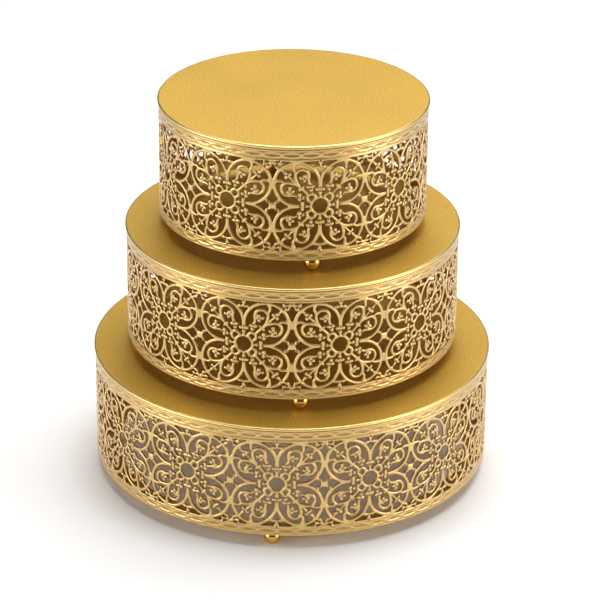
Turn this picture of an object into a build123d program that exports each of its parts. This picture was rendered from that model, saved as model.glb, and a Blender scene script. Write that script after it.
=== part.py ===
from build123d import *
import math
import os

# Tiered cake stand: three round stands that stack by their feet.
# Millimetres, +Z up, origin on the table under the centre of the stack, front towards -Y.
# Angles turn about +Z from the front towards +X.

# Plates: one diameter for each tier, pressed from sheet with a rolled rim and a turned-down flange
BOTTOM_PLATE_D = 304.8
MIDDLE_PLATE_D = 254.0
TOP_PLATE_D = 203.2
SHEET = 1.2
RIM_HEIGHT = 2.6
FLANGE_DEPTH = 8.0

# Lace strip: a pierced metal strip rolled into a hoop under each plate
STRIP_WALL = 1.6
STRIP_INSET = 0.7
SOLDER_GAP = 0.3
SEAM_WIDTH = 6.0
TOP_BORDER = 8.9
BOTTOM_BORDER = 8.2

# Rosettes of the strip: offsets run from a rosette's centre, along the strip and up it
ROSETTE_PITCH = 70.4
STROKE = 2.2
EYE_RADIUS = 6.7
PETAL_OFFSET = 6.4
PETAL_RADIUS = 3.1
LOBE_OFFSET = 17.0
LOBE_RADIUS = 16.8
LOBE_STROKE = 2.6
BORDER_LAND = 0.4
SCROLL_ALONG = 13.0
SCROLL_UP = 23.6
SCROLL_RADIUS = 5.0
FORK_OFFSET = 16.5
SPUR_FROM = 35.0
SPUR_TO = 83.0
FINIAL_OFFSET = 24.2
FINIAL_RADIUS = 2.6
BOSS_RADIUS = 2.4
TIE_OFFSET = 30.75
TIE_STROKE = 2.4
BRIDGE_HEIGHT = 6.6

# Base ring: a flat ring inside the strip's lower edge, which carries the feet
BASE_WIDTH = 15.0
BASE_THICK = 1.5

# Ball feet, cut flat where they stand and where they meet the base ring
BALL_D = 13.0
STANDING_FLAT = 0.25
SEAT_FLAT = 2.15
FOOT_INSET = 8.9

# Screws that hold the feet, from inside the drum
SCREW_D = 4.0
SCREW_REACH = 6.0
SCREW_CLEARANCE = 0.15
HOLE_END_ROOM = 0.5
HEAD_D = 7.5
HEAD_HEIGHT = 2.4
HEAD_ROUND = 0.8
SLOT_WIDTH = 1.0
SLOT_DEPTH = 1.0

# Turn of each tier on the one below: its front foot and the seam of its strip
BOTTOM_FOOT_ANGLE = -5.3
MIDDLE_FOOT_ANGLE = 3.3
TOP_FOOT_ANGLE = 9.0
BOTTOM_SEAM_ANGLE = 182.8
MIDDLE_SEAM_ANGLE = 196.3
TOP_SEAM_ANGLE = 191.3

# What follows from the sizes above
FOOT_HEIGHT = BALL_D - STANDING_FLAT - SEAT_FLAT
FIELD_HALF = LOBE_OFFSET + LOBE_RADIUS + LOBE_STROKE / 2 - BORDER_LAND
STRIP_LOW = FOOT_HEIGHT
ROSETTE_Z = STRIP_LOW + BOTTOM_BORDER + FIELD_HALF
STRIP_HIGH = ROSETTE_Z + FIELD_HALF + TOP_BORDER
TIER_HEIGHT = STRIP_HIGH + SOLDER_GAP + RIM_HEIGHT
HOLE_D = SCREW_D + 2 * SCREW_CLEARANCE
FEET = {"front": 0, "right": 90, "back": 180, "left": 270}
TIERS = (
    ("bottom", BOTTOM_PLATE_D / 2, BOTTOM_FOOT_ANGLE, BOTTOM_SEAM_ANGLE),
    ("middle", MIDDLE_PLATE_D / 2, MIDDLE_FOOT_ANGLE, MIDDLE_SEAM_ANGLE),
    ("top", TOP_PLATE_D / 2, TOP_FOOT_ANGLE, TOP_SEAM_ANGLE),
)


def strip_outer(plate_radius):
    """Outer radius of the strip under a plate."""
    return plate_radius - STRIP_INSET


def seat_radius(plate_radius):
    """Outer radius of the flange and the base ring, which both sit inside the strip."""
    return strip_outer(plate_radius) - STRIP_WALL - SOLDER_GAP


def polar(centre, radius, degrees):
    """Point on a circle."""
    turn = math.radians(degrees)
    return (centre[0] + radius * math.cos(turn), centre[1] + radius * math.sin(turn))


def swapped(point):
    """Mirror image of a point in the rosette's diagonal."""
    return (point[1], point[0])


def bar(start, end, width):
    """Straight stroke of the lace."""
    along = end[0] - start[0]
    up = end[1] - start[1]
    middle = Pos((start[0] + end[0]) / 2, (start[1] + end[1]) / 2)
    return middle * Rot(0, 0, math.degrees(math.atan2(up, along))) * Rectangle(math.hypot(along, up), width)


def ring(centre, radius, width):
    """Closed round stroke of the lace."""
    return Pos(*centre) * (Circle(radius + width / 2) - Circle(radius - width / 2))


def band_sector(centre, outer, inner, first, last):
    """Flat face between two circles, from one angle round to another."""
    return make_face(
        [
            CenterArc(centre, outer, first, last - first),
            Line(polar(centre, outer, last), polar(centre, inner, last)),
            CenterArc(centre, inner, last, first - last),
            Line(polar(centre, inner, first), polar(centre, outer, first)),
        ]
    )


def arc(centre, radius, width, first, last):
    """Open round stroke of the lace."""
    return band_sector(centre, radius + width / 2, radius - width / 2, first, last)


def touching_angle(centre, radius, point, side):
    """Angle on a circle where a line from a point touches it, on the side given as 1 or -1."""
    along = point[0] - centre[0]
    up = point[1] - centre[1]
    spread = side * math.acos(radius / math.hypot(along, up))
    return math.degrees(math.atan2(up, along) + spread)


def scroll(flipped):
    """Hooked scroll inside a lobe, with the spur that ties it to the lobe."""
    centre = (SCROLL_ALONG, SCROLL_UP)
    fork = (FORK_OFFSET, FORK_OFFSET)
    tail = (PETAL_OFFSET, PETAL_OFFSET + PETAL_RADIUS)
    first = touching_angle(centre, SCROLL_RADIUS, fork, 1)
    last = touching_angle(centre, SCROLL_RADIUS, tail, -1) % 360
    hook_start = polar(centre, SCROLL_RADIUS, first)
    hook_end = polar(centre, SCROLL_RADIUS, last)
    spur_start = polar(centre, SCROLL_RADIUS, SPUR_FROM)
    spur_end = polar((LOBE_OFFSET, LOBE_OFFSET), LOBE_RADIUS, SPUR_TO)
    runs = [(fork, hook_start), (hook_end, tail), (spur_start, spur_end)]
    if flipped:
        centre = swapped(centre)
        first, last = 90 - last, 90 - first
        runs = [(swapped(start), swapped(end)) for start, end in runs]
    return [arc(centre, SCROLL_RADIUS, STROKE, first, last)] + [bar(*run, STROKE) for run in runs]


def quarter_lace(half_pitch):
    """Strokes in one quarter of a rosette's cell, from its centre to the cell's corner."""
    lobe = (LOBE_OFFSET, LOBE_OFFSET)
    stem_start = PETAL_OFFSET + PETAL_RADIUS * math.sqrt(0.5)
    to_boss = math.degrees(math.atan2(-LOBE_OFFSET, half_pitch - LOBE_OFFSET))
    tie_reach = LOBE_OFFSET - math.sqrt(LOBE_RADIUS**2 - (TIE_OFFSET - LOBE_OFFSET) ** 2)
    strokes = [
        arc(lobe, LOBE_RADIUS, LOBE_STROKE, -90, 180),
        ring((PETAL_OFFSET, PETAL_OFFSET), PETAL_RADIUS, STROKE),
        bar((stem_start, stem_start), (half_pitch, FIELD_HALF + STROKE), STROKE),
        Pos(FINIAL_OFFSET, FINIAL_OFFSET) * Circle(FINIAL_RADIUS),
        bar((0, EYE_RADIUS), (0, LOBE_OFFSET), LOBE_STROKE),
        bar((EYE_RADIUS, 0), (LOBE_OFFSET, 0), LOBE_STROKE),
        bar(polar(lobe, LOBE_RADIUS, to_boss), (half_pitch, 0), TIE_STROKE),
        bar((0, TIE_OFFSET), (0, FIELD_HALF + STROKE), TIE_STROKE),
        bar((0, TIE_OFFSET), (tie_reach, TIE_OFFSET), TIE_STROKE),
        bar((LOBE_OFFSET + LOBE_RADIUS, LOBE_OFFSET), (half_pitch + STROKE, LOBE_OFFSET), BRIDGE_HEIGHT),
    ]
    return Sketch() + strokes + scroll(False) + scroll(True)


def half_lace(half_pitch):
    """Flat face of half a rosette with its borders, from the rosette's axis to the next rosette."""
    upper = quarter_lace(half_pitch)
    top_middle = FIELD_HALF + TOP_BORDER / 2
    bottom_middle = -FIELD_HALF - BOTTOM_BORDER / 2
    return (
        upper
        + mirror(upper, Plane.XZ)
        + ring((0, 0), EYE_RADIUS, STROKE)
        + Pos(half_pitch, 0) * Circle(BOSS_RADIUS)
        + Pos(half_pitch / 2, top_middle) * Rectangle(half_pitch, TOP_BORDER)
        + Pos(half_pitch / 2, bottom_middle) * Rectangle(half_pitch, BOTTOM_BORDER)
    )


def wall_sector(outer, span):
    """Plain piece of the strip's wall, centred on the front, over an angle in degrees."""
    plan = band_sector((0, 0), outer, outer - STRIP_WALL, -90 - span / 2, -90 + span / 2)
    return Pos(0, 0, STRIP_LOW) * extrude(plan, amount=STRIP_HIGH - STRIP_LOW)


def lies_on_radial(face, degrees):
    """Whether a face lies on the upright plane that leaves the axis at an angle."""
    if face.geom_type != GeomType.PLANE:
        return False
    turn = math.radians(degrees)
    across = Vector(math.cos(turn), math.sin(turn), 0)
    centre = face.center()
    upright = abs(abs(face.normal_at(centre).dot(across)) - 1) < 1e-6
    outward = Vector(math.sin(turn), -math.cos(turn), 0)
    return upright and abs(centre.dot(across)) < 1e-5 and centre.dot(outward) > 0


def open_faces(solid, first, last):
    """Faces of a piece of strip without its two cut ends, given as angles."""
    return [f for f in solid.faces() if not (lies_on_radial(f, first) or lies_on_radial(f, last))]


def lace_band(plate_radius, seam_angle):
    """Pierced hoop: half rosettes in mirrored pairs, closed by a plain soldered seam at the back."""
    outer = strip_outer(plate_radius)
    girth = 2 * math.pi * outer
    count = round((girth - SEAM_WIDTH) / (ROSETTE_PITCH / 2))
    seam_span = 360 * SEAM_WIDTH / girth
    span = (360 - seam_span) / count
    half_pitch = girth * span / 360
    upright = Plane(origin=(0, 0, ROSETTE_Z), x_dir=(1, 0, 0), z_dir=(0, -1, 0))
    flat = upright * (Pos(-half_pitch / 2, 0) * half_lace(half_pitch))
    right_half = (wall_sector(outer, span) & extrude(flat, amount=plate_radius)).solid()
    halves = (mirror(right_half, Plane.YZ), right_half)
    start = seam_angle + seam_span / 2
    middles = [start + (i + 0.5) * span for i in range(count)]
    seam = Rot(0, 0, seam_angle) * wall_sector(outer, seam_span)
    first = Rot(0, 0, middles[0]) * halves[0]
    last = Rot(0, 0, middles[-1]) * halves[(count - 1) % 2]
    faces = open_faces(seam.fuse(first, last).solid(), start + span, middles[-1] - span / 2)
    sides = [open_faces(half, -span / 2, span / 2) for half in halves]
    for i in range(1, count - 1):
        faces += [Rot(0, 0, middles[i]) * face for face in sides[i % 2]]
    return Solid(Shell(faces))


def plate(plate_radius):
    """Pressed disc with a rolled rim over the strip and a flange inside it."""
    top = TIER_HEIGHT
    under = top - RIM_HEIGHT
    flange_outer = seat_radius(plate_radius)
    flange_inner = flange_outer - SHEET
    roll = RIM_HEIGHT / 2
    outline = [
        Line((0, top), (plate_radius - roll, top)),
        ThreePointArc((plate_radius - roll, top), (plate_radius, top - roll), (plate_radius - roll, under)),
        Polyline(
            (plate_radius - roll, under),
            (flange_outer, under),
            (flange_outer, under - FLANGE_DEPTH),
            (flange_inner, under - FLANGE_DEPTH),
            (flange_inner, top - SHEET),
            (0, top - SHEET),
            (0, top),
        ),
    ]
    return revolve(Plane.XZ * make_face(outline), Axis.Z)


def foot_places(plate_radius, foot_angle):
    """Where the feet stand: the name of each with its place."""
    radius = plate_radius - FOOT_INSET
    return {side: Rot(0, 0, foot_angle + turn) * Pos(0, -radius, 0) for side, turn in FEET.items()}


def base_ring(plate_radius, places):
    """Flat ring with a hole over each foot."""
    outer = seat_radius(plate_radius)
    flat = Circle(outer) - Circle(outer - BASE_WIDTH)
    for place in places.values():
        flat -= place * Circle(HOLE_D / 2)
    return Pos(0, 0, STRIP_LOW) * extrude(flat, amount=BASE_THICK)


def foot():
    """Ball foot with its two flats and the screw's hole."""
    ball = Pos(0, 0, BALL_D / 2 - STANDING_FLAT) * Sphere(BALL_D / 2)
    kept = Pos(0, 0, FOOT_HEIGHT / 2) * Box(BALL_D, BALL_D, FOOT_HEIGHT)
    depth = SCREW_REACH + HOLE_END_ROOM
    hole = Pos(0, 0, FOOT_HEIGHT - depth / 2) * Cylinder(HOLE_D / 2, depth)
    return (ball & kept) - hole


def screw():
    """Slotted screw, head on the base ring and shank in the foot."""
    seat = FOOT_HEIGHT + BASE_THICK
    head = Pos(0, 0, seat + HEAD_HEIGHT / 2) * Cylinder(HEAD_D / 2, HEAD_HEIGHT)
    head = fillet(head.edges().group_by(Axis.Z)[-1], HEAD_ROUND)
    head -= Pos(0, 0, seat + HEAD_HEIGHT - SLOT_DEPTH / 2) * Box(HEAD_D, SLOT_WIDTH, SLOT_DEPTH)
    length = BASE_THICK + SCREW_REACH
    return head + Pos(0, 0, seat - length / 2) * Cylinder(SCREW_D / 2, length)


def stand(plate_radius, foot_angle, seam_angle):
    """Pieces of one stand, on the table, by the last part of their names."""
    places = foot_places(plate_radius, foot_angle)
    pieces = {
        "plate": plate(plate_radius),
        "lace_band": lace_band(plate_radius, seam_angle),
        "base_ring": base_ring(plate_radius, places),
        "foot_screws": Compound([place * screw() for place in places.values()]),
    }
    for side, place in places.items():
        pieces["foot_" + side] = place * foot()
    return pieces


os.makedirs("parts", exist_ok=True)
for level, (tier, radius, foot_turn, seam_turn) in enumerate(TIERS):
    lift = Pos(0, 0, level * TIER_HEIGHT)
    for name, piece in stand(radius, foot_turn, seam_turn).items():
        export_step(lift * piece, f"parts/{tier}_{name}.step", write_pcurves=False)
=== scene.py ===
import logging
import math
from collections.abc import Iterable
from dataclasses import dataclass
from enum import Enum
from functools import cached_property, reduce

import bpy
import numpy as np
from mathutils import Matrix, Vector


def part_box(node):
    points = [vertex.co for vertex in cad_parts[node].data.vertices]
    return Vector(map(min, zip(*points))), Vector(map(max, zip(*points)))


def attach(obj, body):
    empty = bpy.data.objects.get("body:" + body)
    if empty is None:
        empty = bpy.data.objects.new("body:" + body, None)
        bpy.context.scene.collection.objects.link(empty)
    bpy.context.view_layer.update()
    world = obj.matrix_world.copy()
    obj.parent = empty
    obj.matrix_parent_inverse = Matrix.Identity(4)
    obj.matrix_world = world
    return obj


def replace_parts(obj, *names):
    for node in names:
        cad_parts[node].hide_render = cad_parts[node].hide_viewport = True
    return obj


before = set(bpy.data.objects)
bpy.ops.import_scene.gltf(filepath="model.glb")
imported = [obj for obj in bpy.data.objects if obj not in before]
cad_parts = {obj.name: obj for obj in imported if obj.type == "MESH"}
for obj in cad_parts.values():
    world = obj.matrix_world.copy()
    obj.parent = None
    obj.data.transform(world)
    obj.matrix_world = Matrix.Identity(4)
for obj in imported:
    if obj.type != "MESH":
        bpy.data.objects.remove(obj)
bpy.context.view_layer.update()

MM = 0.001
# Half the pitch of the shader's dots on all three strips, in millimetres
DOTS_HALF_PITCH = 35.4
Array = np.ndarray
Point = tuple[float, float]
Place = tuple[float, float, float]
Colour = tuple[float, float, float]
Piece = bpy.types.Object
log = logging.getLogger("cake_stand")


class Tier(Enum):
    """The three stands of the stack."""

    BOTTOM = "bottom"
    MIDDLE = "middle"
    TOP = "top"

    @property
    def body(self) -> str:
        """Name of the body that the stand's pieces ride on."""
        return f"{self.value}_stand"

    def node(self, piece: str) -> str:
        """Name of one of the stand's CAD nodes."""
        return f"{self.value}_{piece}"


# Shader maths


class Sock:
    """A shader value; arithmetic on it adds Math nodes to its sheet."""

    def __init__(self, sheet: "NodeSheet", socket: bpy.types.NodeSocket) -> None:
        """Keep the sheet and the output socket."""
        self.sheet = sheet
        self.socket = socket

    def _math(self, operation: str, first: "Sock | float", second: "Sock | float") -> "Sock":
        """Result of one Math node."""
        return self.sheet.add("ShaderNodeMath", {"operation": operation}, {0: first, 1: second})

    def __add__(self, other: "Sock | float") -> "Sock":
        """Sum."""
        return self._math("ADD", self, other)

    def __radd__(self, other: float) -> "Sock":
        """Sum with a number on the left."""
        return self._math("ADD", other, self)

    def __sub__(self, other: "Sock | float") -> "Sock":
        """Difference."""
        return self._math("SUBTRACT", self, other)

    def __rsub__(self, other: float) -> "Sock":
        """Difference from a number."""
        return self._math("SUBTRACT", other, self)

    def __mul__(self, other: "Sock | float") -> "Sock":
        """Product."""
        return self._math("MULTIPLY", self, other)

    def least(self, other: "Sock | float") -> "Sock":
        """The smaller of two values."""
        return self._math("MINIMUM", self, other)

    def rise(self, low: float, high: float) -> "Sock":
        """Smooth step from 0 at one value to 1 at a higher one."""
        settings = {"interpolation_type": "SMOOTHSTEP"}
        return self.sheet.add("ShaderNodeMapRange", settings, {0: self, 1: low, 2: high})


class NodeSheet:
    """The node tree of a material or a world, with one method that makes any node."""

    def __init__(self, owner: bpy.types.Material | bpy.types.World) -> None:
        """Start with an empty tree."""
        self.owner = owner
        owner.use_nodes = True
        self.tree = owner.node_tree
        self.tree.nodes.clear()

    @classmethod
    def for_material(cls, name: str) -> "NodeSheet":
        """Sheet of a new material."""
        return cls(bpy.data.materials.new(name))

    def add(
        self,
        kind: str,
        settings: dict[str, object] | None = None,
        sockets: dict[int | str, object] | None = None,
        output: int | str = 0,
    ) -> Sock:
        """Make a node.

        Args:
            kind: Blender's type name of the node.
            settings: Properties that are set first; "stops" fills a colour ramp.
            sockets: Values or links of its inputs, by index or name.
            output: Which output is returned.

        Returns:
            The chosen output.
        """
        node = self.tree.nodes.new(kind)
        for key, value in (settings or {}).items():
            if key == "stops":
                self._set_stops(node.color_ramp, value)
            else:
                setattr(node, key, value)
        for key, value in (sockets or {}).items():
            if isinstance(value, Sock):
                self.tree.links.new(value.socket, node.inputs[key])
            else:
                node.inputs[key].default_value = value
        return Sock(self, node.outputs[output] if len(node.outputs) else None)

    @staticmethod
    def _set_stops(ramp: bpy.types.ColorRamp, stops: list[tuple[float, Colour]]) -> None:
        """Fill a new colour ramp with positions and linear colours."""
        while len(ramp.elements) < len(stops):
            ramp.elements.new(0.5)
        for element, (position, colour) in zip(ramp.elements, stops):
            element.position = position
            element.color = (*colour, 1.0)

    def place(self) -> Sock:
        """Object coordinates of the piece."""
        return self.add("ShaderNodeTexCoord", output="Object")

    def value(self, name: str, output: str = "Fac") -> Sock:
        """One of the mesh's own attributes."""
        return self.add("ShaderNodeAttribute", {"attribute_name": name}, output=output)

    def noise(self, lumps: float, octaves: float) -> Sock:
        """Noise round one half, with so many lumps to the metre and so many octaves."""
        sockets = {"Vector": self.place(), "Scale": lumps, "Detail": octaves}
        return self.add("ShaderNodeTexNoise", {}, sockets, "Fac")

    def blend(self, factor: "Sock | float", first: "Sock | Colour", second: "Sock | Colour") -> Sock:
        """Mix of two linear colours or colour values; the factor is the second one's share."""
        ends = [end if isinstance(end, Sock) else (*end, 1.0) for end in (first, second)]
        return self.add("ShaderNodeMix", {"data_type": "RGBA"}, {0: factor, 6: ends[0], 7: ends[1]}, 2)

    def bump(self, height: Sock, strength: float, distance: float) -> Sock:
        """Normal of a bumpy surface."""
        sockets = {"Height": height, "Strength": strength, "Distance": distance}
        return self.add("ShaderNodeBump", {}, sockets)

    def surface(self, sockets: dict[int | str, object]) -> bpy.types.Material:
        """Close the sheet with a Principled shader and return the finished material."""
        shader = self.add("ShaderNodeBsdfPrincipled", {}, sockets)
        self.add("ShaderNodeOutputMaterial", {}, {"Surface": shader})
        return self.owner


# Finishes


@dataclass(frozen=True)
class PlateFinish:
    """Satin gold lacquer with a fine sparkling grain, burnished along the rolled rim."""

    name: str = "satin_gold_plate"
    slot: str = "plate_gold"
    deep: Colour = (0.51, 0.30, 0.012)
    light: Colour = (0.78, 0.49, 0.034)
    burnished: Colour = (0.93, 0.70, 0.28)
    metallic: float = 0.94
    roughness: float = 0.58
    coat_ior: float = 1.65
    coat_roughness: float = 0.5
    rim_roughness: float = 0.38
    rim_burnish: float = 0.8
    rim_coat: float = 0.5
    grain_per_metre: float = 800.0
    grain_tone: float = 4.0
    grain_gloss: float = 0.25
    grain_bump: float = 0.3
    grain_depth: float = 0.4 * MM
    cloud_per_metre: float = 14.0
    cloud_tone: float = 0.6

    @cached_property
    def material(self) -> bpy.types.Material:
        """Lacquer whose grain shifts colour, gloss and normal together."""
        sheet = NodeSheet.for_material(self.name)
        grain = sheet.noise(self.grain_per_metre, octaves=4.0)
        cloud = sheet.noise(self.cloud_per_metre, octaves=2.0)
        tone = (grain - 0.5) * self.grain_tone + (cloud - 0.5) * self.cloud_tone + 0.5
        rim = sheet.value("rim")
        lacquer = sheet.blend(tone, self.deep, self.light)
        polish = rim * (self.rim_roughness - self.roughness)
        return sheet.surface(
            {
                "Base Color": sheet.blend(rim * self.rim_burnish, lacquer, self.burnished),
                "Metallic": self.metallic + rim * (1.0 - self.metallic),
                "Roughness": self.roughness + (grain - 0.5) * self.grain_gloss + polish,
                "Coat Weight": 1.0 - rim * (1.0 - self.rim_coat),
                "Coat IOR": self.coat_ior,
                "Coat Roughness": self.coat_roughness,
                "Normal": sheet.bump(grain, self.grain_bump, self.grain_depth),
            }
        )


@dataclass(frozen=True)
class LaceFinish:
    """Lacquered champagne gold, pale on the raised strokes, with painted shade: browner at their edges,
    deepest in the dots.
    """

    dots: tuple[Point, ...]
    name: str = "champagne_gold_lace"
    slot: str = "lace_gold"
    # Painted shade: the relief picks these colours at the heights, the raised strokes pale, their edges,
    # recesses, dots and back in browner and deeper shade.
    deep_shade: Colour = (0.06, 0.028, 0.004)
    hollow_shade: Colour = (0.54, 0.265, 0.04)
    half_shade: Colour = (0.58, 0.355, 0.085)
    raised: Colour = (0.68, 0.475, 0.16)
    heights: tuple[float, ...] = (0.12, 0.3, 0.5, 0.85)
    metallic: float = 0.85
    roughness: float = 0.38
    coat_ior: float = 1.6
    coat_roughness: float = 0.3
    skin_per_metre: float = 700.0
    skin_tone: float = 0.2
    skin_gloss: float = 0.2
    skin_bump: float = 0.18
    skin_depth: float = 0.4 * MM
    dot_edge: Point = (0.5, 1.05)

    @cached_property
    def material(self) -> bpy.types.Material:
        """Colour that follows the strokes' relief as painted shade, with round dots of painted shade and a
        fine cast skin.
        """
        sheet = NodeSheet.for_material(self.name)
        skin = sheet.noise(self.skin_per_metre, octaves=3.0)
        motif = sheet.value("motif", "Vector")
        # Painted shade: round patches of the deepest shade colour over the dents at the dots, standing in for
        # their shadow.
        away = [
            sheet.add("ShaderNodeVectorMath", {"operation": "DISTANCE"}, {0: motif, 1: (*dot, 0.0)}, "Value")
            for dot in self.dots
        ]
        clear = reduce(Sock.least, away).rise(*self.dot_edge)
        # Painted shade: the lower the relief, the browner and deeper the colour.
        stops = list(zip(self.heights, (self.deep_shade, self.hollow_shade, self.half_shade, self.raised)))
        height = sheet.value("relief") + (skin - 0.5) * self.skin_tone
        relief_shade = sheet.add("ShaderNodeValToRGB", {"stops": stops}, {0: height})
        return sheet.surface(
            {
                "Base Color": sheet.blend(clear, self.deep_shade, relief_shade),
                "Metallic": self.metallic,
                "Roughness": self.roughness + (skin - 0.5) * self.skin_gloss,
                "Coat Weight": 1.0,
                "Coat IOR": self.coat_ior,
                "Coat Roughness": self.coat_roughness,
                "Normal": sheet.bump(skin, self.skin_bump, self.skin_depth),
            }
        )


@dataclass(frozen=True)
class MetalFinish:
    """Plain metal with a fine uneven grain, for the ball feet and the pieces inside the drum."""

    name: str
    deep: Colour
    light: Colour
    roughness: float
    metallic: float = 1.0
    slot: str = ""
    grain_per_metre: float = 900.0
    grain_octaves: float = 3.0
    grain_gloss: float = 0.2
    grain_bump: float = 0.2
    grain_depth: float = 0.3 * MM

    @cached_property
    def material(self) -> bpy.types.Material:
        """Metal whose grain shifts colour, gloss and normal together."""
        sheet = NodeSheet.for_material(self.name)
        grain = sheet.noise(self.grain_per_metre, self.grain_octaves)
        return sheet.surface(
            {
                "Base Color": sheet.blend(grain, self.deep, self.light),
                "Metallic": self.metallic,
                "Roughness": self.roughness + (grain - 0.5) * self.grain_gloss,
                "Normal": sheet.bump(grain, self.grain_bump, self.grain_depth),
            }
        )


# Meshes


def make_piece(name: str, points: Array, corners: Array, starts: Array) -> Piece:
    """Make a smooth mesh object from whole arrays.

    Args:
        name: The piece's name.
        points: Vertex places, one row each, in metres.
        corners: Vertex index of every face corner, face after face.
        starts: Where each face begins in corners.

    Returns:
        The new object, linked to the scene.
    """
    mesh = bpy.data.meshes.new(name)
    mesh.vertices.add(len(points))
    mesh.vertices.foreach_set("co", np.ascontiguousarray(points, dtype=np.float32).ravel())
    mesh.loops.add(len(corners))
    mesh.loops.foreach_set("vertex_index", np.ascontiguousarray(corners, dtype=np.int32))
    mesh.polygons.add(len(starts))
    mesh.polygons.foreach_set("loop_start", np.ascontiguousarray(starts, dtype=np.int32))
    mesh.polygons.foreach_set("use_smooth", np.ones(len(starts), dtype=bool))
    mesh.update(calc_edges=True)
    piece = bpy.data.objects.new(name, mesh)
    bpy.context.scene.collection.objects.link(piece)
    return piece


def revolved(name: str, profile: Array, sides: int, middle: Place) -> Piece:
    """Carry a closed profile round an upright axis.

    Point k of ring j is at radius r_k and height z_k, turned by j parts of a full turn. The profile
    begins and ends on the axis, so its two ends become single points with fans of triangles.

    Args:
        name: The piece's name.
        profile: Radius and height of each point, from the axis on top round to the axis below.
        sides: Steps in the full turn.
        middle: Where the axis meets height zero.

    Returns:
        The new object.
    """
    turn = np.linspace(0.0, 2.0 * np.pi, sides, endpoint=False)[:, None]
    radius, height = profile[1:-1, 0], profile[1:-1, 1]
    rings = np.stack(
        [radius * np.cos(turn), radius * np.sin(turn), np.broadcast_to(height, (sides, len(height)))], axis=-1
    )
    poles = np.array([[0.0, 0.0, profile[0, 1]], [0.0, 0.0, profile[-1, 1]]])
    points = np.concatenate([rings.reshape(-1, 3), poles]) + np.array(middle)
    rows = len(radius)
    here = np.arange(sides)
    after = (here + 1) % sides
    row = np.arange(rows - 1)
    a = here[:, None] * rows + row
    b = after[:, None] * rows + row
    quads = np.stack([a, a + 1, b + 1, b], axis=-1).reshape(-1, 4)
    pole = np.full(sides, sides * rows)
    last = rows - 1
    top = np.stack([pole, here * rows, after * rows], axis=-1)
    low = np.stack([pole + 1, after * rows + last, here * rows + last], axis=-1)
    corners = np.concatenate([quads.ravel(), top.ravel(), low.ravel()])
    starts = np.concatenate([np.arange(len(quads)) * 4, quads.size + np.arange(2 * sides) * 3])
    return make_piece(name, points, corners, starts)


def mark(piece: Piece, name: str, values: Array) -> None:
    """Store a number, or a row of three, at every point of a piece."""
    kind, key = ("FLOAT", "value") if values.ndim == 1 else ("FLOAT_VECTOR", "vector")
    layer = piece.data.attributes.new(name, kind, "POINT")
    layer.data.foreach_set(key, values.astype(np.float32).ravel())


def arc_points(centre: Point, radius: float, first: float, last: float, count: int) -> Array:
    """Points on a circle, one row each, from the first angle to the last in degrees."""
    turn = np.radians(np.linspace(first, last, count))
    return np.stack([centre[0] + radius * np.cos(turn), centre[1] + radius * np.sin(turn)], axis=-1)


def dress(piece: Piece, finish: PlateFinish | LaceFinish | MetalFinish, tier: Tier) -> None:
    """Give a new piece its material and the body it rides on.

    Args:
        piece: The piece.
        finish: Its finish.
        tier: The stand that it belongs to.
    """
    piece.data.materials.append(finish.material)
    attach(piece, tier.body)


# The lace


@dataclass(frozen=True)
class Canvas:
    """Places on the strip, in millimetres, with their distances to strokes, negative inside the metal."""

    x: Array
    y: Array

    def swapped(self) -> "Canvas":
        """The places mirrored at the diagonal."""
        return Canvas(self.y, self.x)

    def away(self, at: Point) -> Array:
        """Distance to a point."""
        return np.hypot(self.x - at[0], self.y - at[1])

    def nearest(self, points: Iterable[Point]) -> Array:
        """Distance to the nearest of some points."""
        return reduce(np.minimum, [self.away(at) for at in points])

    def disc(self, at: Point, radius: float) -> Array:
        """Distance to a round bead: how far from its middle, less its radius."""
        return self.away(at) - radius

    def ring(self, at: Point, radius: float, width: float) -> Array:
        """Distance to a closed round stroke: how far off its circle, less half its width."""
        return np.abs(self.away(at) - radius) - width / 2

    def bar(self, start: Point, end: Point, width: float, end_width: float | None = None) -> Array:
        """Distance to a straight stroke with round ends.

        The nearest point is the foot of the perpendicular, held between the two ends. The stroke's half
        width there runs evenly from one end to the other.

        Args:
            start: One end.
            end: The other end.
            width: Width at the start.
            end_width: Width at the end, if it differs.

        Returns:
            The distance at every place.
        """
        along, up = end[0] - start[0], end[1] - start[1]
        share = ((self.x - start[0]) * along + (self.y - start[1]) * up) / (along * along + up * up)
        share = np.clip(share, 0.0, 1.0)
        half = (width + ((width if end_width is None else end_width) - width) * share) / 2
        return np.hypot(self.x - start[0] - share * along, self.y - start[1] - share * up) - half

    def bend(self, at: Point, radius: float, width: float, first: float, last: float) -> Array:
        """Distance to an open round stroke with round ends.

        Inside its angles it is the distance off the circle, and elsewhere the distance to the nearer end.

        Args:
            at: The circle's middle.
            radius: The circle's radius.
            width: The stroke's width.
            first: Start angle in degrees.
            last: End angle in degrees, past the start anticlockwise.

        Returns:
            The distance at every place.
        """
        angle = np.degrees(np.arctan2(self.y - at[1], self.x - at[0]))
        on_arc = (angle - first) % 360.0 <= last - first
        to_ends = self.nearest(arc_points(at, radius, first, last, 2))
        return np.where(on_arc, np.abs(self.away(at) - radius), to_ends) - width / 2

    def sweep(self, points: tuple[Point, Point, Point, Point], width: float, end_width: float) -> Array:
        """Distance to a stroke along a cubic curve, taken as short bars.

        Args:
            points: The curve's ends and, between them, its two control points.
            width: Width at the start.
            end_width: Width at the end.

        Returns:
            The distance at every place.
        """
        steps = 8
        t = np.linspace(0.0, 1.0, steps + 1)[:, None]
        p0, p1, p2, p3 = (np.array(p) for p in points)
        curve = (1 - t) ** 3 * p0 + 3 * t * (1 - t) ** 2 * p1 + 3 * t * t * (1 - t) * p2 + t**3 * p3
        widths = width + (end_width - width) * t[:, 0]
        runs = zip(curve[:-1], curve[1:], widths[:-1], widths[1:])
        return reduce(np.minimum, [self.bar(tuple(a), tuple(b), wa, wb) for a, b, wa, wb in runs])


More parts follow.
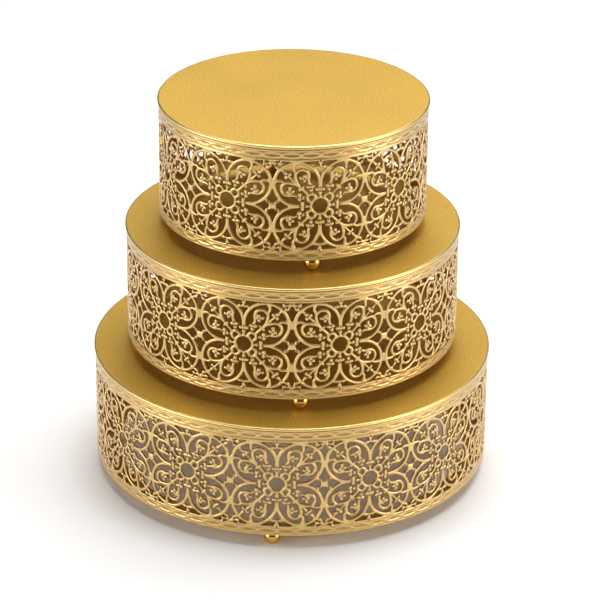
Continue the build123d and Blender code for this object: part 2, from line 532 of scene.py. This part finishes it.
def melted(parts: list[Array], blend: float) -> Array:
    """Union of strokes with filleted corners.

    Two distances a and b give b + (a - b) h - blend h (1 - h), where h is one half plus (b - a) over
    twice the blend, held between 0 and 1.

    Args:
        parts: Distances to the strokes.
        blend: Width of the fillets.

    Returns:
        The distance to the whole.
    """

    def join(a: Array, b: Array) -> Array:
        """Smooth minimum of two distances."""
        h = np.clip(0.5 + 0.5 * (b - a) / blend, 0.0, 1.0)
        return b + (a - b) * h - blend * h * (1.0 - h)

    return reduce(join, parts)


@dataclass(frozen=True)
class Rosette:
    """The strip's repeating rosette, in millimetres from its centre, along the strip and up it.

    The pattern is the same in each quarter and, inside the four lobes, on both sides of the diagonal,
    so places are folded into one quarter first.
    """

    half_pitch: float
    field_half: float = 34.75
    top_edge: float = 43.6
    bottom_edge: float = -42.9
    top_chain: float = 39.75
    bottom_chain: float = -38.95
    inner_ridge: Point = (0.8, 0.75)
    outer_ridge: Point = (0.65, 0.7)
    strand: Point = (0.5, 0.7)
    strand_swing: float = 1.3
    links_per_rosette: int = 5
    lens_half: float = 1.15
    lens_depth: float = 0.16
    border_ground: float = 0.36
    border_rise: float = 0.52
    border_blend: float = 0.5
    stroke: float = 2.2
    eye_radius: float = 6.6
    eye_hole: float = 5.65
    petal: Point = (6.3, 6.3)
    petal_radius: float = 3.05
    lobe: Point = (17.0, 17.0)
    lobe_radius: float = 16.75
    lobe_stroke: float = 2.4
    scroll: Point = (13.3, 23.5)
    scroll_radius: float = 4.95
    bead: float = 1.4
    boss: float = 2.8
    fillet: float = 0.5
    edge_round: float = 0.55
    dot: float = 0.8
    ground: float = 0.3
    stroke_rise: float = 0.5
    dome_rise: float = 0.7
    dent_depth: float = 0.5

    def fold(self, along: Array, up: Array) -> Canvas:
        """Bring places into the quarter that is drawn, by mirroring at the axes and at the next rosette."""
        period = 2.0 * self.half_pitch
        return Canvas(np.abs((along + self.half_pitch) % period - self.half_pitch), np.abs(up))

    def side_beads(self) -> list[Point]:
        """Beads inside a lobe, on one side of its diagonal."""
        tail = [(5.3, 15.3), (9.1, 15.0), (6.6, 12.5)]
        curl = [(11.1, 23.5), (14.2, 22.0), (11.7, 19.9)]
        return tail + curl + [(22.2, 24.9), (2.4, 12.9)]

    def field_beads(self) -> list[Point]:
        """Beads on the diagonal, beside the boss, under the border and at the cell's corner."""
        edge = self.half_pitch
        corner = [(edge - 5.6, 32.6), (edge - 3.1, 29.9), (edge - 0.9, 33.4)]
        return corner + [(25.5, 25.5), (edge - 3.7, 3.4), (2.6, 30.4)]

    def dots(self) -> tuple[Point, ...]:
        """Small punched dots between the beads, in the quarter that is drawn."""
        edge = self.half_pitch
        axis = [(0.0, 14.5), (0.0, 11.4), (1.6, 8.5)]
        lobe = [(7.3, 16.4), (6.9, 13.9), (6.4, 10.9), (11.4, 21.7), (13.1, 20.6), (21.5, 23.4)]
        field = [(24.3, 24.3), (0.0, 35.0), (1.5, 32.0), (edge - 3.7, 3.4)]
        corner = [(edge - 6.1, 31.1), (edge - 3.2, 31.6), (edge - 5.4, 34.9)]
        return tuple(axis + lobe + [(b, a) for a, b in axis + lobe] + field + corner)

    def lobe_side(self, at: Canvas) -> list[Array]:
        """Distances to the strokes inside a lobe, on one side of its diagonal."""
        w = self.stroke
        beads = [at.disc(bead, self.bead) for bead in self.side_beads()]
        scroll = [
            at.bend(self.scroll, self.scroll_radius, w, -15.0, 184.0),
            at.bar((16.6, 16.2), (18.1, 22.3), w),
            at.sweep(((8.36, 23.2), (8.2, 20.8), (9.4, 19.2), (7.2, 16.6)), w, 1.9),
        ]
        tail = [
            at.bar((7.2, 16.6), (6.6, 12.5), 1.5),
            at.bar((5.3, 15.3), (9.1, 15.0), 1.5),
            at.bar((6.6, 12.5), (6.3, 9.4), 1.7),
        ]
        curl = [at.bar((8.8, 22.0), (11.6, 21.8), 1.9), at.disc((12.2, 21.8), 1.5)]
        spur = [
            at.bar((18.5, 26.5), (19.6, 28.6), 1.9),
            at.bar((19.6, 28.4), (19.4, 31.6), 1.9, 2.4),
            at.bar((19.4, 31.4), (19.1, 33.2), 2.2, 4.0),
        ]
        finial = [at.bar((23.6, 23.6), (22.2, 24.9), 1.5)]
        stem = [
            at.bar((0.0, 14.9), (0.0, 18.0), 2.6),
            at.bar((0.0, 7.0), (0.0, 15.0), 1.8),
            at.bar((0.0, 12.9), (2.4, 12.9), 1.7),
            at.bar((0.0, 10.1), (0.8, 10.1), 1.6),
        ]
        return beads + scroll + tail + curl + spur + finial + stem

    def field(self, at: Canvas) -> list[Array]:
        """Distances to the strokes on the diagonal and to those that it doesn't mirror."""
        edge = self.half_pitch
        diagonal = [
            at.bend(self.lobe, self.lobe_radius, self.lobe_stroke, -90.0, 180.0),
            at.bar((8.8, 8.8), (17.6, 17.6), 1.9),
            at.bar((12.4, 15.2), (15.2, 12.4), 1.9),
            at.disc((17.8, 17.8), 1.5),
            at.bar((17.6, 17.6), (25.5, 25.5), 1.6),
            at.bar((25.5, 25.5), (28.9, 28.9), 1.7),
        ]
        boss = [at.disc((edge, 0.0), self.boss), at.bar((edge, 0.0), (29.8, 5.0), 1.5)]
        ties = [
            at.bar((edge, 14.2), (edge, 19.8), 1.8),
            at.bar((0.0, 33.2), (0.0, 36.0), 3.0),
            at.bar((0.0, 30.4), (0.0, 33.5), 1.7),
            at.bar((0.0, 30.4), (4.8, 30.2), 1.6),
        ]
        corner = [
            at.bar((28.9, 28.9), (edge - 3.1, 29.9), 1.5),
            at.bar((edge - 3.1, 29.9), (edge - 0.9, 33.4), 1.5),
            at.bar((edge - 5.6, 32.6), (edge - 0.9, 33.4), 1.5),
            at.bar((edge - 6.1, 31.2), (edge - 6.1, 35.6), 1.3),
        ]
        return diagonal + boss + ties + corner + [at.disc(bead, self.bead) for bead in self.field_beads()]

    def distance(self, along: Array, up: Array) -> Array:
        """Distance to the metal of the strip.

        Args:
            along: Places along the strip.
            up: Places up the strip.

        Returns:
            Millimetres to the nearest edge, negative inside the metal.
        """
        at = self.fold(along, up)
        middle = (0.0, 0.0)
        petal = at.ring(self.petal, self.petal_radius, self.stroke)
        petal = np.maximum(petal, self.eye_hole - at.away(middle))
        eye = at.ring(middle, self.eye_radius, 2.0 * (self.eye_radius - self.eye_hole))
        strokes = self.lobe_side(at) + self.lobe_side(at.swapped()) + self.field(at) + [petal, eye]
        return melted(strokes + [self.field_half - at.y], self.fillet)

    def border_height(self, along: Array, up: Array) -> Array:
        """Relief of the two borders: a plain ridge at each edge and a braid of two strands between.

        Every ridge is a half round across its centre line, kept as the line's place and half the width.
        The strands run apart and together again as 1 - m^2, where m goes from 0 at the middle of a link
        to 1 at its ends, and a lens is sunk between them.

        Args:
            along: Places along the strip.
            up: Places up the strip.

        Returns:
            Height from 0 to 1.
        """
        link = 2.0 * self.half_pitch / self.links_per_rosette
        spread = 1.0 - (2.0 * np.abs((along / link) % 1.0 - 0.5)) ** 2
        edge = np.where(up > 0, self.top_edge, self.bottom_edge)
        off = np.abs(up - np.where(up > 0, self.top_chain, self.bottom_chain))
        lines = [
            (np.abs(up) - self.field_half, self.inner_ridge),
            (np.abs(edge - up), self.outer_ridge),
            (off - self.strand_swing * spread, self.strand),
        ]
        ridges = [np.abs(where - line) / half for where, (line, half) in lines]
        nearest = np.clip(reduce(np.minimum, ridges), 0.0, 1.0)
        narrowest = 0.01
        # The sunk lens also gets painted shade, as the lace's colour ramp makes low relief browner.
        sunk = np.clip(1.0 - off / (self.lens_half * spread + narrowest), 0.0, 1.0)
        rise = self.border_rise * np.sqrt(1.0 - nearest * nearest)
        return self.border_ground + rise - self.lens_depth * sunk

    def height(self, along: Array, up: Array, inside: Array) -> Array:
        """Relief of the strip's face.

        A stroke is rounded at its edges: the root of 1 - (1 - t)^2, where t is the depth inside its
        edge over the rounding. Beads stand higher, as domes of their own, with small dents between.

        Args:
            along: Places along the strip.
            up: Places up the strip.
            inside: Depth inside the metal's edge.

        Returns:
            Height from 0 to 1.
        """
        at = self.fold(along, up)
        t = np.clip(inside / self.edge_round, 0.0, 1.0)
        strokes = self.ground + self.stroke_rise * np.sqrt(t * (2.0 - t))
        mirrored = [(b, a) for a, b in self.side_beads()]
        bead = np.clip(at.nearest(self.side_beads() + mirrored + self.field_beads()) / self.bead, 0.0, 1.0)
        boss = np.clip(at.away((self.half_pitch, 0.0)) / self.boss, 0.0, 1.0)
        domes = self.ground + self.dome_rise * np.sqrt(1.0 - np.minimum(bead, boss) ** 2)
        # The dents sink the face a little, and the lace's colour ramp turns that low relief into painted
        # shade.
        dent = 1.0 - np.clip(at.nearest(self.dots()) / self.dot, 0.0, 1.0)
        metal = np.maximum(strokes, domes) * (1.0 - self.dent_depth * dent)
        field = np.where(inside > 0.0, metal, self.ground)
        share = np.clip((np.abs(up) - self.field_half) / self.border_blend + 0.5, 0.0, 1.0)
        return field + (self.border_height(along, up) - field) * share


@dataclass
class LaceBand:
    """Pierced strip of one stand, rolled into a hoop and soldered at the back."""

    tier: Tier
    seam_angle: float
    arcs: int
    seam_width: float = 6.0 * MM
    pitch: float = 70.4 * MM
    wall: float = 1.6 * MM
    cells_per_half: int = 50
    seam_cells: int = 8
    seam_height: float = 0.55
    # Relief value of the plain back, read only by the colour ramp: painted shade on the inner face, as deep
    # as the recesses.
    back_shade_height: float = 0.3
    ground_share: float = 0.45
    snap_within: float = 0.55
    snap_limit: float = 0.7
    snap_rounds: int = 3

    def __post_init__(self) -> None:
        """Take the hoop's size from the CAD node and count its half rosettes."""
        low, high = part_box(self.tier.node("lace_band"))
        self.outer = (high[0] - low[0]) / 2
        self.low, self.high = low[2], high[2]
        girth = 2 * math.pi * self.outer
        self.halves = round((girth - self.seam_width) / (self.pitch / 2))
        self.span = (2 * math.pi - self.seam_width / self.outer) / self.halves
        self.rosette = Rosette(half_pitch=self.span * self.outer / MM)
        self.centre = self.low - self.rosette.bottom_edge * MM
        self.rows = round((self.high - self.low) / (self.span * self.outer / self.cells_per_half))
        self.levels = np.linspace(self.rosette.bottom_edge, self.rosette.top_edge, self.rows + 1)

    def cell(self) -> dict[str, Array]:
        """Half a rosette on its grid, from the rosette's axis to the next rosette.

        A grid point within about half a cell of an edge moves straight onto it, along the slope of
        the distance.

        Returns:
            Shift along, height, signed distance, relief, slope and place in the quarter, by row and column.
        """
        step = self.rosette.half_pitch / self.cells_per_half
        along = np.arange(self.cells_per_half + 1) * step
        start_x, start_y = np.meshgrid(along, self.levels)
        x, y = start_x.copy(), start_y.copy()
        distance = self.rosette.distance
        near = np.abs(distance(x, y)) < self.snap_within * step
        tiny, least_steep = 0.02, 0.25
        for _ in range(self.snap_rounds):
            off = distance(x, y)
            slope_x = (distance(x + tiny, y) - distance(x - tiny, y)) / (2 * tiny)
            slope_y = (distance(x, y + tiny) - distance(x, y - tiny)) / (2 * tiny)
            steep = np.maximum(slope_x**2 + slope_y**2, least_steep)
            move = np.where(near, off / steep, 0.0)
            x -= np.clip(move * slope_x, -step / 2, step / 2)
            y -= np.clip(move * slope_y, -step / 2, step / 2)
        limit = self.snap_limit * step
        x = np.clip(x, start_x - limit, start_x + limit)
        y = np.clip(y, start_y - limit, start_y + limit)
        off = np.where(near, 0.0, distance(x, y))
        slope = np.stack([slope_x, slope_y], axis=-1)
        relief = self.rosette.height(x, y, -off)
        folded = self.rosette.fold(x, y)
        motif = np.stack([folded.x, folded.y], axis=-1)
        return {"shift": x - start_x, "up": y, "off": off, "relief": relief, "slope": slope, "motif": motif}

    def grid(self) -> dict[str, Array]:
        """The whole hoop's grid: half rosettes and their mirror images in turn, then the plain seam.

        Returns:
            Angle, height, signed distance, relief, outward slope and place in the quarter.
        """
        cell = self.cell()
        count = self.cells_per_half
        columns = np.arange(self.halves * count + 1)
        inside = columns % (2 * count)
        index = np.abs(count - inside)
        sign = np.where(inside < count, -1.0, 1.0)
        start = math.radians(self.seam_angle) + self.seam_width / self.outer / 2
        shift = cell["shift"][:, index] * sign
        angle = start + columns * self.span / count + shift * MM / self.outer
        slope = cell["slope"][:, index] * np.stack([sign, np.ones_like(sign)], axis=-1)
        off, up, relief = (cell[key][:, index] for key in ("off", "up", "relief"))
        off[:, [0, -1]] = np.minimum(off[:, [0, -1]], 0.0)
        angle[:, [0, -1]] = start + columns[[0, -1]] * self.span / count
        share = np.arange(1, self.seam_cells) / self.seam_cells
        seam = start - (1.0 - share) * self.seam_width / self.outer + 2 * math.pi
        seam_shape = (self.rows + 1, self.seam_cells - 1)
        well_inside = -1.0
        parts = {
            "angle": (angle, seam),
            "up": (up, self.levels[:, None]),
            "off": (off, well_inside),
            "relief": (relief, self.seam_height),
            "slope": (slope, 0.0),
            "motif": (cell["motif"][:, index], 0.0),
        }
        return {
            key: np.concatenate([strip, np.broadcast_to(plain, (*seam_shape, *strip.shape[2:]))], axis=1)
            for key, (strip, plain) in parts.items()
        }

    def faces(self, off: Array, first: int, last: int) -> tuple[Array, Array]:
        """Metal faces of one arc of the hoop.

        A square with no corner outside the metal stays whole, and one with a single corner outside
        keeps the triangle of the other three. Either has at least one corner well inside the metal.

        Args:
            off: Signed distance by row and column of the whole hoop.
            first: The arc's first column.
            last: The arc's last column.

        Returns:
            Squares and triangles as grid indices, anticlockwise seen from outside.
        """
        total = off.shape[1]
        column = np.arange(first, last)[None, :]
        row = np.arange(self.rows)[:, None]
        right = (column + 1) % total
        low = [row * total + column, row * total + right]
        square = np.stack([*low, low[1] + total, low[0] + total], axis=-1).reshape(-1, 4)
        values = off.ravel()[square]
        sure = 1e-9
        out = values > sure
        lean = values.min(axis=1) < -sure
        whole = square[~out.any(axis=1) & lean]
        single = (out.sum(axis=1) == 1) & lean
        missing = out[single].argmax(axis=1)
        order = (missing[:, None] + np.array([1, 2, 3])) % 4
        return whole, np.take_along_axis(square[single], order, axis=1)

    def build(self, finish: LaceFinish) -> list[Piece]:
        """Make the hoop as several arcs that butt together.

        Each arc has its face in relief, a plain back and walls along every edge of the metal. A face
        point stands at the inner radius plus wall (ground + (1 - ground) height).

        Args:
            finish: The lace's finish.

        Returns:
            The arcs.
        """
        grid = self.grid()
        rosettes = np.linspace(0, self.halves // 2, self.arcs + 1).round().astype(int)
        bounds = rosettes * 2 * self.cells_per_half
        bounds[-1] = grid["off"].shape[1]
        pieces = []
        for number, (first, last) in enumerate(zip(bounds[:-1], bounds[1:])):
            name = f"{self.tier.value}_lace_{number + 1}"
            piece = self.arc_piece(name, grid, int(first), int(last))
            dress(piece, finish, self.tier)
            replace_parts(piece, self.tier.node("lace_band"))
            pieces.append(piece)
        return pieces

    def arc_piece(self, name: str, grid: dict[str, Array], first: int, last: int) -> Piece:
        """Make one arc of the hoop.

        The caps at its two ends have points of their own, so the shading runs on into the next arc.

        Args:
            name: The piece's name.
            grid: The hoop's grid.
            first: The arc's first column.
            last: The arc's last column.

        Returns:
            The arc, with its relief and place in the rosette as attributes and a flat map of its faces.
        """
        squares, triangles = self.faces(grid["off"], first, last)
        used, slim = np.unique(np.concatenate([squares.ravel(), triangles.ravel()]), return_inverse=True)
        squares = slim[: squares.size].reshape(-1, 4)
        triangles = slim[squares.size :].reshape(-1, 3)
        angle, up, relief = (grid[key].ravel()[used] for key in ("angle", "up", "relief"))
        total = grid["off"].shape[1]
        column = used % total
        angle = angle + 2 * math.pi * (column < first)
        slope = grid["slope"].reshape(-1, 2)[used]
        inner = self.outer - self.wall
        stand = self.ground_share + (1.0 - self.ground_share) * relief
        outside = self.on_hoop(inner + self.wall * stand, angle, up)
        inside = self.on_hoop(np.full_like(angle, inner), angle, up)
        count = len(used)
        edge_from, edge_to = self.rim(squares, triangles)
        walls = np.stack([edge_from, edge_from + count, edge_to + count, edge_to], axis=-1)
        at_end = np.isin(column, [first, last % total])
        butting = at_end[edge_from] & at_end[edge_to]
        copied, cap = np.unique(walls[butting], return_inverse=True)
        caps = 2 * count + cap.reshape(-1, 4)
        origin = np.concatenate([np.arange(2 * count), copied])
        fours = np.concatenate([caps, walls[~butting], squares, squares[:, ::-1] + count])
        threes = np.concatenate([triangles, triangles[:, ::-1] + count])
        corners = np.concatenate([fours.ravel(), threes.ravel()])
        starts = np.concatenate([np.arange(len(fours)) * 4, fours.size + np.arange(len(threes)) * 3])
        piece = make_piece(name, np.concatenate([outside, inside])[origin], corners, starts)
        # The back points carry a low relief so that the colour ramp paints the inner face in shade.
        mark(piece, "relief", np.append(relief, np.full(count, self.back_shade_height))[origin])
        motif = np.pad(grid["motif"].reshape(-1, 2)[used], ((0, 0), (0, 1)))
        mark(piece, "motif", np.tile(motif, (2, 1))[origin])
        self.map_faces(piece, origin[corners], len(walls), angle, up, slope)
        return piece

    def on_hoop(self, radius: Array, angle: Array, up: Array) -> Array:
        """Places on the hoop: angle a from the front is at x = r sin a and y = -r cos a."""
        return np.stack([radius * np.sin(angle), -radius * np.cos(angle), self.centre + up * MM], axis=-1)

    @staticmethod
    def rim(squares: Array, triangles: Array) -> tuple[Array, Array]:
        """Start and end of every edge that has metal on its left only."""
        start = np.concatenate([squares.ravel(), triangles.ravel()])
        end = np.concatenate([np.roll(squares, -1, axis=1).ravel(), np.roll(triangles, -1, axis=1).ravel()])
        size = start.max() + 1
        alone = ~np.isin(start * size + end, end * size + start)
        return start[alone], end[alone]

    def map_faces(
        self, piece: Piece, corners: Array, walls: int, angle: Array, up: Array, slope: Array
    ) -> None:
        """Lay the arc out flat: its face below, its back above, and its walls into the holes.

        Args:
            piece: The arc.
            corners: Point of the face or the back at every face corner.
            walls: How many walls it has, which come first among its faces.
            angle: Angle of each point of the face.
            up: Height of each point of the face.
            slope: Outward slope of the distance at each point.
        """
        wall_depth = 0.3 * MM
        page = np.array([0.98, 0.47])
        margin = np.array([0.01, 0.015])
        back_page = np.array([0.0, 0.5])
        reach = (angle.max() - angle.min()) * self.outer
        flat = np.stack([(angle - angle.min()) * self.outer, up * MM + self.centre - self.low], axis=-1)
        scale = page / np.array([reach, self.high - self.low])
        front = flat * scale + margin
        hole = (flat + slope * wall_depth) * scale + margin
        count = len(angle)
        place = np.concatenate([front, front + back_page])[corners]
        in_wall = corners[: 4 * walls]
        deep = (in_wall >= count)[:, None]
        place[: 4 * walls] = np.where(deep, hole[in_wall % count], front[in_wall % count])
        layer = piece.data.uv_layers.new(name="OFBake")
        layer.data.foreach_set("uv", place.astype(np.float32).ravel())


@dataclass
class CakePlate:
    """Pressed plate of one stand, with its rolled rim and the flange inside the strip."""

    tier: Tier
    sheet: float = 1.2 * MM
    rim_height: float = 2.6 * MM
    flange_inset: float = 2.6 * MM
    ease: float = 0.35 * MM
    flat_rings: tuple[float, ...] = (0.0, 0.5, 0.9)
    roll_points: int = 15
    sides: int = 320

    def build(self, finish: PlateFinish) -> Piece:
        """Carry the plate's profile round its axis.

        The profile runs flat from the axis to the rim, round half a circle of half the rim's height,
        in under the rim, down and up the flange and back to the axis under the sheet.

        Args:
            finish: The plate's finish.

        Returns:
            The plate.
        """
        low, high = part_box(self.tier.node("plate"))
        radius, top = high[0], high[2]
        roll = self.rim_height / 2
        under = top - self.rim_height
        outer = radius - self.flange_inset
        inner = outer - self.sheet
        rim = arc_points((radius - roll, top - roll), roll, 90.0, -90.0, self.roll_points)
        ease = self.ease
        rim_start = radius - roll - ease
        below_sheet = top - self.sheet
        flat_top = [(share * radius, top) for share in self.flat_rings] + [(rim_start, top)]
        below = [
            (outer + ease, under),
            (outer, under - ease),
            (outer, low[2] + ease),
            (outer - ease, low[2]),
            (inner + ease, low[2]),
            (inner, low[2] + ease),
            (inner, below_sheet - ease),
            (inner - ease, below_sheet),
            (self.flat_rings[1] * radius, below_sheet),
            (0.0, below_sheet),
        ]
        profile = np.concatenate([np.array(flat_top), rim, np.array(below)])
        piece = revolved(f"{self.tier.value}_cake_plate", profile, self.sides, (0.0, 0.0, 0.0))
        places = np.empty(len(piece.data.vertices) * 3, dtype=np.float32)
        piece.data.vertices.foreach_get("co", places)
        away = np.hypot(places[0::3], places[1::3])
        mark(piece, "rim", np.clip((away - rim_start) / ease, 0.0, 1.0))
        dress(piece, finish, self.tier)
        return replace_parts(piece, self.tier.node("plate"))


class Side(Enum):
    """Where a foot stands under its stand."""

    FRONT = "front"
    RIGHT = "right"
    BACK = "back"
    LEFT = "left"


@dataclass
class BallFeet:
    """Polished ball feet of one stand."""

    tier: Tier
    ball: float = 13.0 * MM
    standing_flat: float = 0.25 * MM
    ball_points: int = 40
    sides: int = 64

    def build(self, finish: MetalFinish) -> list[Piece]:
        """Carry half a circle, cut flat at both ends, round each foot's axis.

        Args:
            finish: The feet's finish.

        Returns:
            The four feet.
        """
        feet = []
        radius = self.ball / 2
        for side in Side:
            node = self.tier.node(f"foot_{side.value}")
            low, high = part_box(node)
            middle = low[2] + radius - self.standing_flat
            upper = math.degrees(math.asin((high[2] - middle) / radius))
            lower = math.degrees(math.asin((low[2] - middle) / radius))
            curve = arc_points((0.0, middle), radius, upper, lower, self.ball_points)
            profile = np.concatenate([[(0.0, high[2])], curve, [(0.0, low[2])]])
            place = ((low[0] + high[0]) / 2, (low[1] + high[1]) / 2, 0.0)
            piece = revolved(f"{self.tier.value}_ball_foot_{side.value}", profile, self.sides, place)
            dress(piece, finish, self.tier)
            feet.append(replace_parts(piece, node))
        return feet


@dataclass
class HiddenPieces:
    """Base ring and foot screws of one stand, which keep their CAD shapes."""

    tier: Tier

    def dress(self, ring: MetalFinish, screws: MetalFinish) -> None:
        """Put the finishes of the base ring and of the screws on their CAD nodes."""
        for name, finish in (("base_ring", ring), ("foot_screws", screws)):
            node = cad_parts[self.tier.node(name)]
            node.data.materials.clear()
            node.data.materials.append(finish.material)


@dataclass(frozen=True)
class Softbox:
    """A large soft lamp."""

    name: str
    place: Place
    sides: Point
    watts: float

    def hang(self, target: Place) -> None:
        """Hang the lamp so that it faces a place."""
        data = bpy.data.lights.new(self.name, "AREA")
        data.shape = "RECTANGLE"
        data.size, data.size_y = self.sides
        data.energy = self.watts
        lamp = bpy.data.objects.new(self.name, data)
        bpy.context.scene.collection.objects.link(lamp)
        lamp.location = self.place
        away = Vector(self.place) - Vector(target)
        lamp.rotation_euler = away.to_track_quat("Z", "Y").to_euler()


@dataclass
class Studio:
    """Pale floor, soft light and the camera at the photograph's place."""

    target: Place = (0.0, 0.0, 0.15)
    distance: float = 2.2095
    elevation: float = 0.43255
    roll: float = 0.00804
    focal_pixels: float = 2885.2
    axis_pixel: Point = (292.24, 278.70)
    image_pixels: float = 600.0
    sensor: float = 36.0
    floor_radius: float = 12.0
    floor_sides: int = 96
    floor_lumps: float = 3.0
    floor_lift: float = 1.01
    floor_colour: Colour = (0.97, 0.97, 0.97)
    world_level: float = 0.12
    softboxes: tuple[Softbox, ...] = (
        Softbox("overhead_softbox", (0.25, 0.4, 2.1), (2.0, 2.0), 58.0),
        Softbox("left_softbox", (-4.0, -1.5, 0.85), (2.8, 1.6), 102.0),
        Softbox("right_softbox", (4.0, -1.5, 0.85), (2.8, 1.6), 102.0),
    )

    def camera(self) -> None:
        """Aim a camera at the stack, turned by a small roll and shifted to the photograph's axis."""
        data = bpy.data.cameras.new("camera")
        data.sensor_width = self.sensor
        data.lens = self.sensor * self.focal_pixels / self.image_pixels
        middle = self.image_pixels / 2
        data.shift_x = (middle - self.axis_pixel[0]) / self.image_pixels
        data.shift_y = (self.axis_pixel[1] - middle) / self.image_pixels
        data.clip_end = 100.0
        camera = bpy.data.objects.new("camera", data)
        bpy.context.scene.collection.objects.link(camera)
        back = (0.0, -math.cos(self.elevation), math.sin(self.elevation))
        place = [t + self.distance * b for t, b in zip(self.target, back)]
        tilt = Matrix.Rotation(math.pi / 2 - self.elevation, 4, "X")
        camera.matrix_world = Matrix.Translation(place) @ tilt @ Matrix.Rotation(self.roll, 4, "Z")
        bpy.context.scene.camera = camera

    def floor(self) -> None:
        """Lay a round pale floor under the feet."""
        sheet = NodeSheet.for_material("pale_floor")
        tone = sheet.noise(self.floor_lumps, octaves=2.0)
        light = tuple(min(1.0, c * self.floor_lift) for c in self.floor_colour)
        paper = {"Roughness": 0.9, "Specular IOR Level": 0.0}
        material = sheet.surface({"Base Color": sheet.blend(tone, self.floor_colour, light), **paper})
        turn = np.linspace(0.0, 2 * np.pi, self.floor_sides, endpoint=False)
        edge = self.floor_radius * np.stack([np.cos(turn), np.sin(turn), np.zeros_like(turn)], axis=-1)
        floor = make_piece("floor", edge, np.arange(len(edge)), np.array([0]))
        floor.data.materials.append(material)

    def world(self) -> None:
        """Set an even pale grey surrounding."""
        world = bpy.data.worlds.new("studio")
        sheet = NodeSheet(world)
        level = {"Color": (1.0, 1.0, 1.0, 1.0), "Strength": self.world_level}
        background = sheet.add("ShaderNodeBackground", {}, level)
        sheet.add("ShaderNodeOutputWorld", {}, {"Surface": background})
        bpy.context.scene.world = world

    def build(self) -> None:
        """Set everything up, with one large softbox overhead and one low on each side."""
        bpy.context.scene.view_settings.view_transform = "Standard"
        self.camera()
        self.floor()
        self.world()
        for softbox in self.softboxes:
            softbox.hang(self.target)


def main() -> None:
    """Build the three stands and the studio."""
    logging.basicConfig(level=logging.INFO, format="%(name)s: %(message)s")
    plate = PlateFinish()
    lace = LaceFinish(dots=Rosette(half_pitch=DOTS_HALF_PITCH).dots())
    ball = MetalFinish(
        "polished_gold_ball",
        deep=(0.60, 0.33, 0.06),
        light=(0.76, 0.47, 0.12),
        roughness=0.14,
        slot="ball_gold",
        grain_per_metre=420.0,
        grain_octaves=4.0,
        grain_gloss=0.16,
        grain_bump=0.0,
    )
    base = MetalFinish("painted_base", (0.66, 0.44, 0.13), (0.80, 0.56, 0.19), roughness=0.5, metallic=0.5)
    zinc = MetalFinish("zinc_screws", (0.42, 0.41, 0.38), (0.58, 0.57, 0.54), roughness=0.35)
    bands = [
        LaceBand(Tier.BOTTOM, seam_angle=182.8, arcs=4),
        LaceBand(Tier.MIDDLE, seam_angle=196.3, arcs=3),
        LaceBand(Tier.TOP, seam_angle=191.3, arcs=2),
    ]
    for band in bands:
        pieces = band.build(lace)
        pieces.append(CakePlate(band.tier).build(plate))
        pieces += BallFeet(band.tier).build(ball)
        HiddenPieces(band.tier).dress(base, zinc)
        for piece in pieces:
            log.info("%s: %d faces", piece.name, len(piece.data.polygons))
    Studio().build()


if __name__ == "__main__":
    main()
